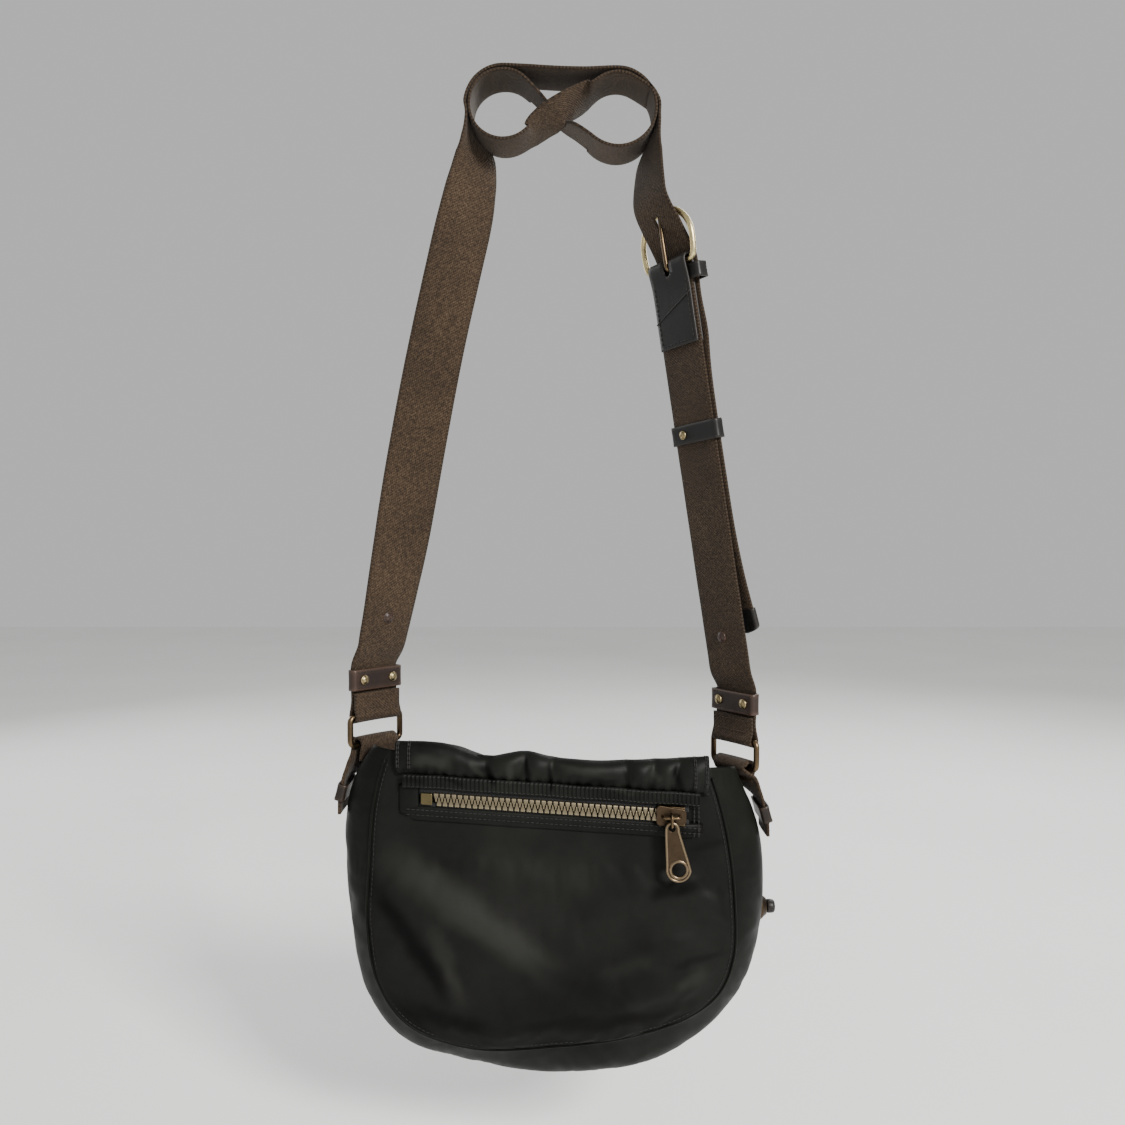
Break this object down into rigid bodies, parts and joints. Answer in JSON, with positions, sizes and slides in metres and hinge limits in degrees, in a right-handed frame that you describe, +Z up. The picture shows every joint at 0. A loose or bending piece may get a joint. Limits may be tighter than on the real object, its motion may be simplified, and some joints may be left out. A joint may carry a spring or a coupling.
{
  "type": "messenger bag",
  "caption": "Small soft messenger bag with a front flap, zipped back pocket, strap rings and a buckled webbing strap wound round two hangers.",
  "frame": {"origin": "midway between the centres of the two strap loops that the bag hangs by", "axes": "+Z up, +Y towards the flap (front), -Y towards the zip pocket (back), +X to the right seen from the back"},
  "size_m": [0.3035, 0.0879, 0.6811],
  "materials": {
    "nylon": "satin nylon",
    "lining": "matte cloth",
    "webbing": "dense twill webbing",
    "zip_tape": "woven tape",
    "leather": "smooth, semi-matte",
    "antique_brass": "antiqued",
    "bronze": "dark antiqued bronze"
  },
  "bodies": {
    "bag": {"back_panel": "nylon", "buckle_chape": "leather", "buckle_keeper": "leather", "collar_left": "leather", "collar_right": "leather", "collar_rivet_left_inner": "antique_brass", "collar_rivet_left_outer": "antique_brass", "collar_rivet_right_inner": "antique_brass", "collar_rivet_right_outer": "antique_brass", "flap_rear": "nylon", "flap_seam_band": "nylon", "front_panel": "nylon", "gusset": "nylon", "lining_back": "lining", "lining_front": "lining", "piping_back": "nylon", "piping_front": "nylon", "side_stud_base": "bronze", "side_stud_cap": "leather", "side_tab_left": "webbing", "side_tab_right": "webbing", "snap_socket": "antique_brass", "strap_cap_left": "leather", "strap_cap_right": "leather", "strap_cross_far": "webbing", "strap_cross_near": "webbing", "strap_fold_left": "webbing", "strap_fold_right": "webbing", "strap_inner_left_base": "webbing", "strap_inner_left_top": "webbing", "strap_inner_right_top": "webbing", "strap_leg_left": "webbing", "strap_leg_right_lower": "webbing", "strap_leg_right_upper": "webbing", "strap_outer_right_base": "webbing", "strap_outer_right_top": "webbing", "strap_over_left": "webbing", "strap_tail": "webbing", "strap_tail_tip": "leather", "strap_top_band": "webbing", "tab_keeper_left": "leather", "tab_keeper_right": "leather", "zip_pocket_bag": "lining", "zip_stop_left": "antique_brass", "zip_tape_lower": "zip_tape", "zip_tape_upper": "zip_tape", "zip_teeth_lower": "antique_brass", "zip_teeth_upper": "antique_brass"},
    "flap": {"flap_shell": "nylon", "snap_stud": "antique_brass"},
    "zip_slider": {"zip_slider": "bronze"},
    "pull_link": {"zip_pull_link": "bronze"},
    "zip_puller": {"zip_puller": "bronze"},
    "ring_left": {"ring_left": "bronze"},
    "ring_right": {"ring_right": "bronze"},
    "buckle_frame": {"buckle_frame": "antique_brass"},
    "buckle_prong": {"buckle_prong": "antique_brass"},
    "strap_keeper": {"strap_keeper": "leather", "strap_keeper_rivet": "antique_brass"}
  },
  "joints": [
    {"name": "flap_lift", "type": "hinge", "parent": "bag", "child": "flap", "pos_m": [-0.0055, -0.0415, -0.4275], "axis": [0.9987, 0, -0.0512], "range_deg": [0, 112]},
    {"name": "zip_slide", "type": "slide", "parent": "bag", "child": "zip_slider", "axis": [-0.9977, 0, 0.0678], "range_m": [0, 0.142]},
    {"name": "pull_lift", "type": "hinge", "parent": "zip_slider", "child": "pull_link", "pos_m": [0.072, -0.0508, -0.47015], "axis": [-1, 0, 0], "range_deg": [0, 95]},
    {"name": "puller_swing", "type": "hinge", "parent": "pull_link", "child": "zip_puller", "pos_m": [0.072, -0.0508, -0.47565], "axis": [0, 1, 0], "range_deg": [-50, 50]},
    {"name": "ring_left_rock", "type": "hinge", "parent": "bag", "child": "ring_left", "pos_m": [-0.1265, -0.008, -0.41], "axis": [-0.6691, -0.7431, 0], "range_deg": [-2, 4]},
    {"name": "ring_right_rock", "type": "hinge", "parent": "bag", "child": "ring_right", "pos_m": [0.119, -0.008, -0.426], "axis": [0.5592, -0.829, 0], "range_deg": [0, 4]},
    {"name": "buckle_tilt", "type": "hinge", "parent": "bag", "child": "buckle_frame", "pos_m": [0.07427, -0.00612, -0.10629], "axis": [0.5903, -0.8016, 0.0945], "range_deg": [-6, 0]},
    {"name": "prong_tilt", "type": "hinge", "parent": "bag", "child": "buckle_prong", "pos_m": [0.07427, -0.00612, -0.10629], "axis": [0.5903, -0.8016, 0.0945], "range_deg": [-0.4, 1]},
    {"name": "keeper_slide", "type": "slide", "parent": "bag", "child": "strap_keeper", "axis": [0.1495, -0.0066, -0.9887], "range_m": [-0.012, 0.012]}
  ]
}
